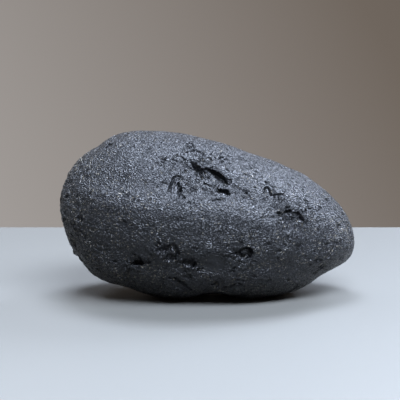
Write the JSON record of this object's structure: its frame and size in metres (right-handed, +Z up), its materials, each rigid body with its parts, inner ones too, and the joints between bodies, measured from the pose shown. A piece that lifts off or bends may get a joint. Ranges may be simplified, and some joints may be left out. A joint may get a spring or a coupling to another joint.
{
  "type": "indochinite tektite",
  "caption": "Egg-shaped pebble of natural black glass with one drawn-out end and a corroded, pitted skin, lying on two worn flats.",
  "frame": {"origin": "centre of the stone's bounding box, in the plane that its two worn flats stand on", "axes": "+X along the stone towards its snout, +Z up, and the display side faces -Y"},
  "size_m": [0.0622, 0.0402, 0.0347],
  "materials": {
    "black_glass": "etched satin skin of opaque black natural glass, with brighter glints in the pits"
  },
  "bodies": {
    "root": {"tektite": "black_glass"}
  },
  "joints": []
}
